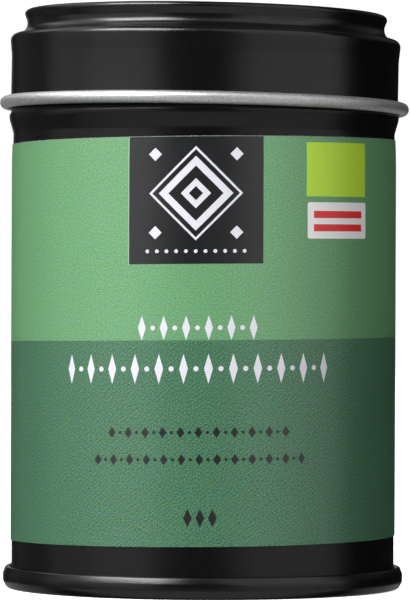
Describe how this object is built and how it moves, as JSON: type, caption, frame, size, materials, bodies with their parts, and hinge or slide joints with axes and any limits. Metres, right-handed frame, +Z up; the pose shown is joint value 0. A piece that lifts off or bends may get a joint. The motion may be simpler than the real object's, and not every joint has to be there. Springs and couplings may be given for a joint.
{
  "type": "spice tin",
  "caption": "Round black tinplate spice tin with a slip-on stacking lid, a bare rolled lid edge, a seamed base, a wrap-round green paper label and dried cut thyme inside.",
  "frame": {"origin": "centre of the base, on the plane that the tin stands on", "axes": "+Z up along the tin's axis, -Y towards the front of the label, +X towards the side where the lid sits a little lower"},
  "size_m": [0.0479, 0.048, 0.0676],
  "materials": {
    "body_tinplate": "satin",
    "base_tinplate": "satin",
    "lid_tinplate": "satin",
    "label_paper": "satin",
    "herb": "matte"
  },
  "bodies": {
    "root": {"tin_body": "body_tinplate", "base_end": "base_tinplate", "lid": "lid_tinplate", "paper_label": "label_paper", "dried_thyme": "herb"}
  },
  "joints": []
}
